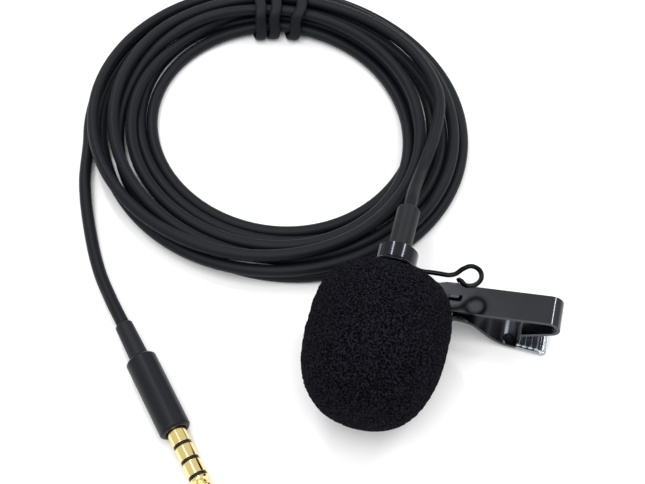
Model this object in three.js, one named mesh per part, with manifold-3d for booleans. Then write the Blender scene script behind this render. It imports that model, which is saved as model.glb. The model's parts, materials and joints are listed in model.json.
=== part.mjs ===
// Lavalier microphone: foam windscreen, 6.4 mm capsule housing in a metal tie clip, and a coiled lead to a
// four-contact 3.5 mm plug. Millimetres, +Z up. The microphone lies along Y with its front towards -Y.
import * as THREE from 'three';
import { mergeVertices } from 'three/addons/utils/BufferGeometryUtils.js';
import Module from 'manifold-3d';

const wasm = await Module();
wasm.setup();

// ---- driving dimensions -------------------------------------------------------------------------------
// clearances
const seatGap = 0.2;              // between small pieces that touch
const cordGap = 0.3;              // between a cord's solids and what they meet

// windscreen: radius along its length, measured forward from the collar's rear face
const foamRadius = 13;            // the widest part, which the microphone lies on
const foamLength = 26.8;
const foamRear = 8;               // its rear face, forward of the collar's rear face
const foamRearFaceRadius = 10.2;
const foamNoseLength = 19.2;      // from its nose to its widest part
const foamNoseBluntness = 2.8;    // power of the nose's curve: 2 is an ellipse, more is squarer
const foamShoulderBluntness = 1.8;
const foamBoreClearance = 0.3;
const foamBoreEndGap = 0.3;

// capsule housing and what it holds
const housingRadius = 3.2;
const housingWall = 0.35;
const housingLength = 18.1;
const housingLip = 0.4;           // rolled-in rim, front and rear
const housingMouthRadius = 2.4;
const housingEdge = 0.2;
const grilleThickness = 0.25;
const grilleHoleRadius = 0.24;
const grillePitch = 0.85;         // between its rings of holes
const clothThickness = 0.3;
const capsuleLength = 2.7;
const capsulePortRadius = 0.6;
const capsulePortDepth = 0.3;
const capsuleRim = 0.25;
const boardThickness = 0.4;
const boardRadius = 2.4;
const gasketLength = 1.5;
const gasketBoreRadius = 1.5;
const conductorRadius = 0.3;
const conductorSpacing = 1.4;

// strain relief behind the housing
const reliefRadius = 2.25;
const reliefLength = 10.2;
const reliefFlangeLength = 2.4;
const reliefSocketDepth = 2.5;
const reliefChamfer = 0.35;

// collar that holds the housing on the clip
const collarBoreClearance = 0.3;
const collarSheet = 0.45;
const collarWidth = 3;
const collarSlit = 0.16;
const slitEndAboveFoot = 0.3;
const footWidth = 4.4;
const footLength = 7.2;
const footSheet = 0.5;

// clip, in its own frame: u along the clip, w up from the microphone's axis
const clipTilt = 10.7;            // degrees the clip's tip stands up from level
const plateDrop = 7.3;            // plate's top below the microphone's axis
const sheet = 0.7;
const plateWidth = 5.9;
const plateRearEdge = 1;          // plate's rear edge, forward of the collar's rear face
const plateReach = 28.71;         // where the front bend starts
const bendRadius = 1.95;          // centre line of the front bend
const lipAngle = 18;              // degrees the turned-under lip slopes down
const lipLength = 5.8;
const gripReach = 9.8;            // finger grips, behind the microphone's axis
const upperGripRise = 2.45;
const slotLength = 2.6;
const slotWidth = 1.4;
const slotCentre = 11.1;
const jawWidth = 7.9;
const jawReach = 28.4;
const jawFloor = 17.9;            // gripping end's middle below the microphone's axis, at its tip
const jawSlope = 0.27;            // fall of the gripping end towards its tip
const jawHumpGap = 0.35;          // between the lower strap's hump and the plate
// the lower strap's middle: along the clip, and below its hump
const jawForm = [
  [-9.6, 2.05], [-6.4, 2.55], [-3, 2.95], [0.2, 3.05], [3.2, 2.6], [6.2, 1.25], [8.4, 0.2], [10.4, 0],
  [12.6, 0.15], [14.75, 0.98], [16.2, 2.63], [17.6, 4.58], [19.05, 6.12], [20.45, 7.02],
];
const jawCorner = 0.8;            // radius of the tip's two corners
const wallGap = 0.4;              // between the lower strap's side walls and the plate
const wallForm = [[6.1, 1.6], [7.3, 0.35], [13.9, 0.35], [13.2, 0.55], [11.3, 0.4]];
const notchClearance = 0.25;      // round the upper strap's lugs
const jawToothLength = 5.7;
const toothCount = 5;
const toothDepth = 0.5;
const toothCrown = 0.2;           // share of a tooth's pitch that its top takes
const toothSideGap = 0.5;         // from the teeth's ends to the strap's edge
const toothRoot = 0.25;           // depth to which the teeth are set in the strap
const dishReach = 21.2;           // shallow round dish behind the teeth
const dishRadius = 1.1;
const dishDepth = 0.3;
const dishAside = 2.65;           // from the strap's middle towards the microphone's front
const pivotReach = 9.3;           // pivot pin, along the clip and below the plate's top
const pivotDrop = 2.9;
const pinRadius = 0.55;
const pinHeadRadius = 0.95;
const pinHeadLength = 0.35;
const pinClearance = 0.2;
const lugRadius = 1.3;
const lugSheet = 0.6;
const tabLength = 1.7;
const tabThickness = 0.6;
const tabRise = 0.3;              // how far the locating tab stands above the plate
const tabOffset = 0.2;            // towards the slot's rear, and from its edge
const rivetRadius = 0.7;
const rivetHeadRadius = 1.15;
const rivetHeadLength = 0.25;
const springSheet = 0.35;
const springWidth = 3.6;
const springBend = 0.95;
const springReach = 3.2;          // its upper leg's end, along the clip
const springBack = 4.2;           // its bend's middle, behind the microphone's axis
const springTail = 2;             // its lower leg's end, behind the microphone's axis

// wire hook that keeps the lead beside the clip
const hookWireRadius = 0.48;
const hookGap = 0.3;
const hookReach = 14.05;          // middle of its eye, along the clip from the microphone's axis
const hookDrop = 1.4;             // eye below the microphone's axis
const hookEyeRadius = 2.05;       // to the wire's middle
const hookEyeAside = 1.5;         // eye's middle behind the ring's plane
const hookTail = 2.3;
const hookFirstBearing = 230;     // degrees over which the wire lies round the housing
const hookLastBearing = 50;
const hookEyeFirst = 95;          // degrees over which the wire lies round its eye
const hookEyeLast = -155;
const hookEyeFall = 0.0017;       // share of its drop that the eye falls per degree
// the neck: share of its length, share of half the eye's offset, and share of the eye's drop
const hookNeck = [[0.17, 0.4, 0.07], [0.37, 0.8, 0.43], [0.58, 0.93, 0.6], [0.78, 1, 0.75]];

// lead
const cordRadius = 1.25;
const coilInnerRadius = 26;
const coilOuterRadius = 40.9;
const coilHeight = 5.2;
const coilBase = 1.55;            // the coil's underside stands on its tie
const coilX = -34;                // coil centre from the microphone's axis and the collar's rear face
const coilY = 32.1;
const coilCorner = 1.2;           // rounding of the coil's section
const tieWireRadius = 0.6;
const tieTurns = 3;
const tieSpread = 11;
const tieBearing = 104;           // degrees round the coil
const waistDepth = 0.24;          // share by which the tie draws the turns together
const waistSpread = 24;           // degrees over which they spread again
const micLeadForm = [[0, 10.2, 0], [0, 12.5, -0.3], [-0.1, 15.9, -1.6], [0, 19.5, -3.1]];
const micLeadTop = [[0.2, 23.5], [0.7, 28], [1, 32.5], [0.6, 38.5]];
// plug end's lead: across, along, and above the surface that it lies on
const plugLeadForm = [
  [-67.7, 6.4, 0.6], [-66.2, 3, 0.4], [-64.2, -1, 0.1], [-62, -5, 0], [-59.6, -9, 0], [-56.9, -12.9, 0.1],
  [-54, -16.4, 0.6], [-51.3, -19.5, 1.3],
];

// plug
const plugX = -48.5;              // rear end of the plug's strain relief
const plugY = -22.5;
const plugBearing = 42.7;         // degrees the plug is turned from the microphone's direction
const plugReliefRadius = 1.85;
const plugReliefRearRadius = 1.7;
const plugReliefLength = 8.4;
const plugReliefTongue = 3;
const plugReliefEdge = 0.3;
const barrelRadius = 2.95;
const barrelLength = 16.4;
const barrelEdge = 0.4;
const contactRadius = 1.75;
const contactBore = 1.1;
const sleeveVisible = 2.75;
const sleeveShank = 6;
const insulatorLength = 0.68;
const ringLength = 2.58;
const plugShaft = 14;
const contactGap = 0.06;
const insulatorDrop = 0.03;       // insulators below the contacts' surface
const tongueLength = 1;           // of the insulating core inside the tip
const tipWaist = 0.7;             // share of the contacts' radius
// the tip's nose: radius, and distance from its front end
const tipForm = [[0, 0], [0.45, 0.08], [0.8, 0.4], [1.55, 1.5], [contactRadius, 2], [1.67, 2.35]];
const tipWaistFront = 2.95;
const tipWaistRear = 3.2;
const tipShoulder = 3.55;

// ---- values worked out from them ----------------------------------------------------------------------
const housingBore = housingRadius - housingWall;
const insideRadius = housingBore - seatGap;
const collarInner = housingRadius + collarBoreClearance;
const collarOuter = collarInner + collarSheet;
const plateMid = -(plateRearEdge + plateWidth / 2);
const rivetLine = -(collarWidth + seatGap + rivetHeadRadius);
const plateLine = -(plateDrop + sheet / 2);
const plateUnder = -(plateDrop + sheet);
const pivotLine = -(plateDrop + pivotDrop);
const hookRingRadius = housingRadius + hookGap + hookWireRadius;
const hookY = -(collarWidth + seatGap + hookWireRadius);
const coilMiddle = (coilOuterRadius + coilInnerRadius) / 2;
const coilHalfWidth = (coilOuterRadius - coilInnerRadius) / 2;
const leadTop = coilBase + coilHeight + cordGap + cordRadius;

// ---- materials ----------------------------------------------------------------------------------------
function finish(color, roughness, metalness) {
  return new THREE.MeshStandardMaterial({ color, roughness, metalness });
}
const foam = () => finish(0x17181b, 1, 0);
const blackPlastic = () => finish(0x1b1c1f, 0.55, 0);
const blackRubber = () => finish(0x1c1d20, 0.7, 0);
const blackNickel = () => finish(0x3a3b3f, 0.22, 1);
const gold = () => finish(0xd7a944, 0.2, 1);
const aluminium = () => finish(0xb9bcc0, 0.35, 1);
const steel = () => finish(0x9a9da2, 0.3, 1);
const circuitGreen = () => finish(0x23603a, 0.5, 0);
const copperRed = () => finish(0x9b2a22, 0.5, 0);
const pvc = () => finish(0x1a1b1e, 0.6, 0);

// ---- shape helpers ------------------------------------------------------------------------------------
// Welds a geometry's corners, drops the triangles that this closes, and turns its faces outwards.
function weld(geometry) {
  const bare = geometry.clone();
  bare.deleteAttribute('normal');
  bare.deleteAttribute('uv');
  const welded = mergeVertices(bare, 1e-4);
  const place = welded.attributes.position;
  const corners = [];
  let volume = 0;
  const a = new THREE.Vector3();
  const b = new THREE.Vector3();
  const c = new THREE.Vector3();
  for (let i = 0; i < welded.index.count; i += 3) {
    const [p, q, r] = [0, 1, 2].map((k) => welded.index.getX(i + k));
    if (p === q || q === r || r === p) continue;
    corners.push(p, q, r);
    a.fromBufferAttribute(place, p);
    b.fromBufferAttribute(place, q);
    c.fromBufferAttribute(place, r);
    volume += a.dot(b.cross(c));
  }
  if (volume < 0) corners.reverse();
  welded.setIndex(corners);
  return welded;
}

function toSolid(geometry) {
  const welded = weld(geometry);
  return new wasm.Manifold(new wasm.Mesh({
    numProp: 3,
    vertProperties: new Float32Array(welded.attributes.position.array),
    triVerts: new Uint32Array(welded.index.array),
  }));
}

function fromSolid(solid) {
  const mesh = solid.getMesh();
  const geometry = new THREE.BufferGeometry();
  geometry.setAttribute('position', new THREE.BufferAttribute(mesh.vertProperties, 3));
  geometry.setIndex(new THREE.BufferAttribute(mesh.triVerts, 1));
  return geometry;
}

function piece(name, geometry, material) {
  const mesh = new THREE.Mesh(weld(geometry), material);
  mesh.name = name;
  return mesh;
}

const flat = (x, y) => new THREE.Vector2(x, y);
const point = (x, y, z) => new THREE.Vector3(x, y, z);

// A solid turned about Y from [radius, y] pairs that start and end on the axis or close on themselves.
function turned(profile, segments = 32) {
  return new THREE.LatheGeometry(profile.map(([r, y]) => flat(r, y)), segments);
}

function disc(radius, yFront, length, segments = 32) {
  return turned([[0, yFront], [radius, yFront], [radius, yFront + length], [0, yFront + length]], segments);
}

function ring(outer, inner, yFront, length, segments = 32) {
  const yRear = yFront + length;
  return turned([[inner, yFront], [outer, yFront], [outer, yRear], [inner, yRear], [inner, yFront]], segments);
}

// Extrudes an outline drawn in the clip's u, w plane across the width, centred on width position y.
function acrossWidth(outline, width, y) {
  const geometry = new THREE.ExtrudeGeometry(outline, { depth: width, bevelEnabled: false, curveSegments: 10 });
  geometry.rotateX(Math.PI / 2);
  return geometry.translate(0, y + width / 2, 0);
}

// The outline of a sheet of one thickness that follows a centre line.
function sheetOutline(line, thickness) {
  const above = [];
  const below = [];
  line.forEach((p, i) => {
    const before = line[Math.max(i - 1, 0)];
    const after = line[Math.min(i + 1, line.length - 1)];
    const along = after.clone().sub(before).normalize();
    const normal = flat(-along.y, along.x).multiplyScalar(thickness / 2);
    above.push(p.clone().add(normal));
    below.push(p.clone().sub(normal));
  });
  return new THREE.Shape([...above, ...below.reverse()]);
}

function smoothLine(points, divisions) {
  return new THREE.SplineCurve(points.map(([u, w]) => flat(u, w))).getPoints(divisions);
}

// A round bar of a given radius along a smooth path.
function bar(points, radius, sides, steps) {
  const section = new THREE.Shape();
  for (let i = 0; i < sides; i += 1) {
    const angle = (i / sides) * 2 * Math.PI;
    const [x, y] = [radius * Math.cos(angle), radius * Math.sin(angle)];
    if (i === 0) section.moveTo(x, y);
    else section.lineTo(x, y);
  }
  section.closePath();
  const extrudePath = new THREE.CatmullRomCurve3(points);
  return new THREE.ExtrudeGeometry(section, { steps, extrudePath, bevelEnabled: false });
}

function box(x0, x1, y0, y1, z0, z1) {
  const geometry = new THREE.BoxGeometry(x1 - x0, y1 - y0, z1 - z0);
  return geometry.translate((x0 + x1) / 2, (y0 + y1) / 2, (z0 + z1) / 2);
}

function postAcross(radius, u, w, y, length) {
  const geometry = new THREE.CylinderGeometry(radius, radius, length, 20);
  return geometry.translate(u, y, w);
}

function postUp(radius, u, y, w, length) {
  const geometry = new THREE.CylinderGeometry(radius, radius, length, 20);
  geometry.rotateX(Math.PI / 2);
  return geometry.translate(u, y, w);
}

// ---- windscreen ---------------------------------------------------------------------------------------
// A blunt-nosed foam ball with a blind bore that grips the housing.
function foamWindscreen() {
  const front = foamRear + foamLength;
  const bore = housingRadius + foamBoreClearance;
  const shoulder = foamRadius - foamRearFaceRadius;
  const shoulderLength = foamLength - foamNoseLength;
  const noseSteps = 15;
  const shoulderSteps = 8;
  const outer = [[0, -front]];
  for (let i = 1; i <= noseSteps; i += 1) {
    const angle = (i / noseSteps) * Math.PI / 2;
    const power = 2 / foamNoseBluntness;
    outer.push([foamRadius * Math.sin(angle) ** power,
      -front + foamNoseLength * (1 - Math.abs(Math.cos(angle)) ** power)]);
  }
  for (let i = 1; i <= shoulderSteps; i += 1) {
    const angle = (i / shoulderSteps) * Math.PI / 2;
    const power = 2 / foamShoulderBluntness;
    outer.push([foamRearFaceRadius + shoulder * Math.abs(Math.cos(angle)) ** power,
      -foamRear - shoulderLength * (1 - Math.sin(angle) ** power)]);
  }
  const blindEnd = -housingLength - foamBoreEndGap;
  return piece('foam_windscreen',
    turned([...outer, [bore, -foamRear], [bore, blindEnd], [0, blindEnd]], 40), foam());
}

// ---- microphone ---------------------------------------------------------------------------------------
function capsuleHousing() {
  const neck = reliefRadius + seatGap;
  const rim = housingRadius - housingEdge;
  return piece('capsule_housing', turned([
    [neck, 0], [rim, 0], [housingRadius, -housingEdge], [housingRadius, -housingLength + housingEdge],
    [rim, -housingLength], [housingMouthRadius, -housingLength],
    [housingMouthRadius, -housingLength + housingLip], [housingBore, -housingLength + housingLip],
    [housingBore, -housingLip], [neck, -housingLip], [neck, 0],
  ]), aluminium());
}

function frontGrille(y) {
  const face = new THREE.Shape();
  face.absarc(0, 0, insideRadius, 0, 2 * Math.PI);
  const holeCounts = [1, 6, 12];
  holeCounts.forEach((count, row) => {
    const radius = row * grillePitch;
    for (let i = 0; i < count; i += 1) {
      const angle = (i / count) * 2 * Math.PI;
      const hole = new THREE.Path();
      hole.absarc(radius * Math.cos(angle), radius * Math.sin(angle), grilleHoleRadius, 0, 2 * Math.PI, true);
      face.holes.push(hole);
    }
  });
  const geometry = new THREE.ExtrudeGeometry(face, {
    depth: grilleThickness, bevelEnabled: false, curveSegments: 4,
  });
  geometry.rotateX(-Math.PI / 2);
  return piece('front_grille', geometry.translate(0, y, 0), steel());
}

function electretCapsule(y) {
  const rear = y + capsuleLength;
  const port = y + capsulePortDepth;
  return piece('electret_capsule', turned([
    [0, port], [capsulePortRadius, port], [capsulePortRadius, y], [insideRadius - capsuleRim, y],
    [insideRadius, y + capsuleRim], [insideRadius, rear], [insideRadius - 2 * capsuleRim, rear],
    [insideRadius - 2 * capsuleRim, rear - capsuleRim], [0, rear - capsuleRim],
  ]), aluminium());
}

function reliefBoot() {
  const flangeFront = -(housingLip + seatGap + reliefFlangeLength);
  const socket = cordRadius + cordGap;
  return piece('mic_strain_relief', turned([
    [0, flangeFront], [insideRadius, flangeFront], [insideRadius, flangeFront + reliefFlangeLength],
    [reliefRadius, flangeFront + reliefFlangeLength], [reliefRadius, reliefLength - reliefChamfer],
    [reliefRadius - reliefChamfer, reliefLength], [socket, reliefLength],
    [socket, reliefLength - reliefSocketDepth], [0, reliefLength - reliefSocketDepth],
  ]), blackRubber());
}

// The housing's pieces in order from its front: grille, cloth, capsule, board, gasket, conductors, boot.
function microphone() {
  const group = new THREE.Group();
  const grilleY = -housingLength + housingLip + seatGap;
  const clothY = grilleY + grilleThickness + seatGap;
  const capsuleY = clothY + clothThickness + seatGap;
  const boardY = capsuleY + capsuleLength + seatGap;
  const gasketY = boardY + boardThickness + seatGap;
  const flangeFront = -(housingLip + seatGap + reliefFlangeLength);
  group.add(
    capsuleHousing(),
    frontGrille(grilleY),
    piece('dust_cloth', disc(insideRadius, clothY, clothThickness), foam()),
    electretCapsule(capsuleY),
    piece('capsule_board', disc(boardRadius, boardY, boardThickness), circuitGreen()),
    piece('capsule_gasket', ring(insideRadius, gasketBoreRadius, gasketY, gasketLength), blackRubber()),
    reliefBoot(),
  );
  [['signal_conductor', 1], ['ground_conductor', -1]].forEach(([name, side]) => {
    const x = side * conductorSpacing / 2;
    const geometry = disc(conductorRadius, gasketY, flangeFront - seatGap - gasketY, 8);
    group.add(piece(name, geometry.translate(x, 0, 0), side > 0 ? copperRed() : blackPlastic()));
  });
  return group;
}

// ---- clip ---------------------------------------------------------------------------------------------
// One strip rolled round the housing; its two ends meet below as a stem and turn forward as a foot.
function collar() {
  const footTop = -(plateDrop - seatGap - footSheet);
  const band = toSolid(ring(collarOuter, collarInner, -collarWidth, collarWidth, 48));
  const stemTop = -(collarInner + collarOuter) / 2;
  const stem = toSolid(box(-collarSheet, collarSheet, -collarWidth, 0, footTop - footSheet, stemTop));
  const foot = toSolid(box(-footWidth / 2, footWidth / 2, -footLength, 0, footTop - footSheet, footTop));
  const slitEnd = footTop + slitEndAboveFoot;
  const slit = toSolid(box(-collarSlit / 2, collarSlit / 2, -collarWidth - 1, 1, slitEnd, 0));
  const hole = toSolid(postUp(rivetRadius + pinClearance, 0, rivetLine, footTop, 4));
  return piece('collar', fromSolid(band.add(stem).subtract(slit).add(foot).subtract(hole)), blackNickel());
}

function collarRivet() {
  const top = -(plateDrop - seatGap - footSheet) + seatGap;
  const bottom = plateUnder - 2 * seatGap - springSheet - seatGap;
  const geometry = turned([
    [0, bottom - rivetHeadLength], [rivetHeadRadius * 0.7, bottom - rivetHeadLength],
    [rivetHeadRadius, bottom], [rivetRadius, bottom], [rivetRadius, top], [rivetHeadRadius, top],
    [rivetHeadRadius * 0.9, top + rivetHeadLength * 0.7], [rivetHeadRadius * 0.5, top + rivetHeadLength],
    [0, top + rivetHeadLength],
  ], 20);
  geometry.rotateX(Math.PI / 2);
  return piece('collar_rivet', geometry.translate(0, rivetLine, 0), blackNickel());
}

// Strap that rises to a finger grip, runs forward, bends round at the tip and returns as a sloping lip.
function upperJaw() {
  const line = smoothLine([
    [-gripReach, plateLine + upperGripRise], [-gripReach * 0.62, plateLine + upperGripRise * 0.42],
    [-gripReach * 0.36, plateLine + upperGripRise * 0.06], [-footWidth / 2 - seatGap, plateLine],
  ], 12);
  const lipTurn = THREE.MathUtils.degToRad(90 - lipAngle);
  const steps = 10;
  for (let i = 0; i <= steps; i += 1) {
    const angle = Math.PI / 2 - (i / steps) * (Math.PI / 2 + lipTurn);
    line.push(flat(plateReach + bendRadius * Math.cos(angle),
      plateLine - bendRadius + bendRadius * Math.sin(angle)));
  }
  const slope = THREE.MathUtils.degToRad(lipAngle);
  const bendEnd = line[line.length - 1];
  line.push(flat(bendEnd.x - lipLength * Math.cos(slope), bendEnd.y - lipLength * Math.sin(slope)));
  let strap = toSolid(acrossWidth(sheetOutline(line, sheet), plateWidth, plateMid));

  const lug = new THREE.Shape();
  lug.moveTo(pivotReach - lugRadius, plateUnder + sheet / 2);
  lug.lineTo(pivotReach - lugRadius, pivotLine);
  lug.absarc(pivotReach, pivotLine, lugRadius, Math.PI, 2 * Math.PI);
  lug.lineTo(pivotReach + lugRadius, plateUnder + sheet / 2);
  [-1, 1].forEach((side) => {
    const y = plateMid + side * (plateWidth - lugSheet) / 2;
    strap = strap.add(toSolid(acrossWidth(lug, lugSheet, y)));
  });
  const pinHole = toSolid(postAcross(pinRadius + pinClearance, pivotReach, pivotLine, plateMid, plateWidth + 2));
  const rivetHole = toSolid(postUp(rivetRadius + pinClearance, 0, rivetLine, plateLine, 4));
  const slot = toSolid(box(slotCentre - slotLength / 2, slotCentre + slotLength / 2,
    plateMid - slotWidth / 2, plateMid + slotWidth / 2, plateUnder - 1, -plateDrop + 1));
  strap = strap.subtract(pinHole).subtract(rivetHole).subtract(slot);
  return piece('upper_jaw', fromSolid(strap), blackNickel());
}

// Lower strap: grip, hump under the plate, deep throat and a ribbed gripping end, with side walls at the pin.
function lowerJaw() {
  const hump = plateUnder - jawHumpGap - sheet / 2;
  const toothStart = jawReach - jawToothLength;
  const floorAt = (u) => -jawFloor + jawSlope * (jawReach - u);
  const bends = jawForm.map(([u, drop]) => [u, hump - drop]);
  const line = smoothLine([...bends, [toothStart, floorAt(toothStart)]], 36);
  line.push(flat(jawReach, floorAt(jawReach)));
  let body = toSolid(acrossWidth(sheetOutline(line, sheet), jawWidth, plateMid));

  const pitch = jawToothLength / toothCount;
  for (let i = 0; i < toothCount; i += 1) {
    const surface = (share) => {
      const u = toothStart + (i + share) * pitch;
      return flat(u, floorAt(u) + sheet / 2);
    };
    const [root, crown] = [flat(0, -toothRoot), flat(0, toothDepth)];
    const tooth = new THREE.Shape([
      surface(0).add(root), surface(0.98).add(root), surface(0.98), surface(0.5 + toothCrown / 2).add(crown),
      surface(0.5 - toothCrown / 2).add(crown), surface(0),
    ]);
    body = body.add(toSolid(acrossWidth(tooth, jawWidth - 2 * toothSideGap, plateMid)));
  }
  const dish = postUp(dishRadius, 0, 0, 0.5 - dishDepth, 1);
  dish.rotateY(Math.atan(jawSlope));
  dish.translate(dishReach, plateMid - dishAside, floorAt(dishReach) + sheet / 2);

  const half = jawWidth / 2;
  const plan = new THREE.Shape();
  plan.moveTo(-2 * gripReach, -half);
  plan.lineTo(jawReach - jawCorner, -half);
  plan.absarc(jawReach - jawCorner, -half + jawCorner, jawCorner, -Math.PI / 2, 0);
  plan.lineTo(jawReach, half - jawCorner);
  plan.absarc(jawReach - jawCorner, half - jawCorner, jawCorner, 0, Math.PI / 2);
  plan.lineTo(-2 * gripReach, half);
  const deep = 2 * jawFloor;
  const rounded = new THREE.ExtrudeGeometry(plan, { depth: deep, bevelEnabled: false, curveSegments: 3 });
  rounded.translate(0, plateMid, -deep);
  body = body.intersect(toSolid(rounded));

  const wallTop = plateUnder - wallGap;
  const [heel, shoulder, ...front] = wallForm.map(([u, drop]) => flat(u, hump - drop));
  const wall = new THREE.Shape([heel, shoulder, flat(8.7, wallTop), flat(12.4, wallTop), ...front]);
  wall.lineTo(pivotReach + lugRadius, pivotLine);
  wall.absarc(pivotReach, pivotLine, lugRadius, 0, Math.PI, true);
  const notchReach = lugRadius + wallGap;
  const notchHalf = lugSheet / 2 + notchClearance;
  [-1, 1].forEach((side) => {
    const lugY = plateMid + side * (plateWidth - lugSheet) / 2;
    const notch = box(pivotReach - notchReach, pivotReach + notchReach,
      lugY - notchHalf, lugY + notchHalf, pivotLine - 3, wallTop + 1);
    body = body.subtract(toSolid(notch));
    const wallY = plateMid + side * (jawWidth - lugSheet) / 2;
    body = body.add(toSolid(acrossWidth(wall, lugSheet, wallY)));
  });

  const tabRear = plateMid + slotWidth / 2 - tabOffset;
  const tabMiddle = slotCentre - tabOffset;
  const tab = box(tabMiddle - tabLength / 2, tabMiddle + tabLength / 2,
    tabRear - tabThickness, tabRear, hump, -plateDrop + tabRise);
  body = body.add(toSolid(tab));
  const pinHole = toSolid(postAcross(pinRadius + pinClearance, pivotReach, pivotLine, plateMid, 2 * jawWidth));
  return piece('lower_jaw', fromSolid(body.subtract(pinHole).subtract(toSolid(dish))), blackNickel());
}

function pivotPin() {
  const half = jawWidth / 2 + seatGap;
  const headEnd = half + pinHeadLength;
  const geometry = turned([
    [0, -headEnd], [pinHeadRadius * 0.8, -headEnd], [pinHeadRadius, -half], [pinRadius, -half],
    [pinRadius, half], [pinHeadRadius, half], [pinHeadRadius * 0.8, headEnd], [0, headEnd],
  ], 20);
  return piece('pivot_pin', geometry.translate(pivotReach, plateMid, pivotLine), blackNickel());
}

// Bow-shaped leaf spring, riveted under the plate, that pushes the lower grip away.
function bowSpring() {
  const upperLeg = plateUnder - 2 * seatGap - springSheet / 2;
  const line = [flat(springReach, upperLeg)];
  const steps = 10;
  for (let i = 0; i <= steps; i += 1) {
    const angle = Math.PI / 2 + (i / steps) * Math.PI;
    const [across, up] = [springBend * Math.cos(angle), springBend * Math.sin(angle)];
    line.push(flat(across - springBack, upperLeg - springBend + up));
  }
  line.push(flat(-springTail, upperLeg - 2 * springBend));
  const leaf = toSolid(acrossWidth(sheetOutline(line, springSheet), springWidth, plateMid));
  const hole = toSolid(postUp(rivetRadius + pinClearance, 0, rivetLine, upperLeg, 1));
  return piece('bow_spring', fromSolid(leaf.subtract(hole)), steel());
}

// Spring-steel wire that wraps the housing in front of the collar and ends in an open eye for the lead.
function cableHook() {
  const points = [];
  for (let bearing = hookFirstBearing; bearing >= hookLastBearing; bearing -= 30) {
    const angle = THREE.MathUtils.degToRad(bearing);
    points.push(point(hookRingRadius * Math.cos(angle), hookY, hookRingRadius * Math.sin(angle)));
  }
  const start = hookRingRadius * 0.97;
  const neck = hookReach - hookEyeRadius;
  const eyeY = hookY + hookEyeAside;
  points.push(point(start, hookY, hookDrop * 0.93));
  hookNeck.forEach(([along, aside, drop]) => {
    points.push(point(start + (neck - start) * along, hookY + hookEyeAside * aside / 2, -hookDrop * drop));
  });
  points.push(
    point(start + (neck - start) * 0.92, eyeY - hookEyeRadius * 0.12, -hookDrop * 0.82),
    point(neck + hookEyeRadius * 0.2, eyeY + hookEyeRadius * 0.52, -hookDrop * 0.93),
  );
  for (let bearing = hookEyeFirst; bearing >= hookEyeLast; bearing -= 50) {
    const angle = THREE.MathUtils.degToRad(bearing);
    const drop = hookDrop * (1.06 + (hookEyeFirst - bearing) * hookEyeFall);
    points.push(point(hookReach + hookEyeRadius * Math.cos(angle), eyeY + hookEyeRadius * Math.sin(angle), -drop));
  }
  const tailDrop = hookDrop * 1.06 + 1.6 * hookWireRadius;
  points.push(point(hookReach - hookTail, eyeY - hookEyeRadius * 0.49, -tailDrop));
  return piece('cable_hook', bar(points, hookWireRadius, 8, 76), blackNickel());
}

function clip() {
  const group = new THREE.Group();
  group.add(collar(), collarRivet(), upperJaw(), lowerJaw(), pivotPin(), bowSpring(), cableHook());
  group.rotation.y = -THREE.MathUtils.degToRad(clipTilt);
  return group;
}

// ---- lead ---------------------------------------------------------------------------------------------
function cableMicLead() {
  const start = reliefLength - reliefSocketDepth + cordGap;
  const top = leadTop - foamRadius;
  return piece('cable_mic_lead', bar([
    point(0, start, 0), ...micLeadForm.map(([x, y, z]) => point(x, y, z)),
    ...micLeadTop.map(([x, y]) => point(x, y, top)),
  ], cordRadius, 8, 14), pvc());
}

// The share of its full width that the coil keeps at a bearing, in radians.
function coilWaist(bearing) {
  const away = (THREE.MathUtils.radToDeg(bearing) - tieBearing) / waistSpread;
  return 1 - waistDepth * Math.exp(-(away ** 2));
}

// The wound turns as one round ring, drawn in at the tie.
function cableCoil() {
  const corner = coilCorner;
  const arcSteps = 3;
  const top = coilBase + coilHeight;
  const corners = [
    [coilOuterRadius - corner, coilBase + corner, -90], [coilOuterRadius - corner, top - corner, 0],
    [coilInnerRadius + corner, top - corner, 90], [coilInnerRadius + corner, coilBase + corner, 180],
  ];
  const profile = [];
  corners.forEach(([r, z, from]) => {
    for (let i = 0; i <= arcSteps; i += 1) {
      const angle = THREE.MathUtils.degToRad(from + (90 * i) / arcSteps);
      profile.push([r + corner * Math.cos(angle), z + corner * Math.sin(angle)]);
    }
  });
  profile.push(profile[0]);
  const geometry = turned(profile, 48);
  geometry.rotateX(Math.PI / 2);
  const place = geometry.attributes.position;
  for (let i = 0; i < place.count; i += 1) {
    const bearing = Math.atan2(place.getY(i), place.getX(i));
    const radius = Math.hypot(place.getX(i), place.getY(i));
    const drawn = coilMiddle + (radius - coilMiddle) * coilWaist(bearing);
    place.setXY(i, drawn * Math.cos(bearing), drawn * Math.sin(bearing));
  }
  return piece('cable_coil', geometry.translate(coilX, coilY, -foamRadius), pvc());
}

function cablePlugLead() {
  const floor = cordRadius + seatGap / 2 - foamRadius;
  const bearing = THREE.MathUtils.degToRad(plugBearing);
  return piece('cable_plug_lead', bar([
    ...plugLeadForm.map(([x, y, lift]) => point(x, y, floor + lift)),
    point(plugX - cordGap * Math.sin(bearing), plugY + cordGap * Math.cos(bearing), barrelRadius - foamRadius),
  ], cordRadius, 8, 12), pvc());
}

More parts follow.
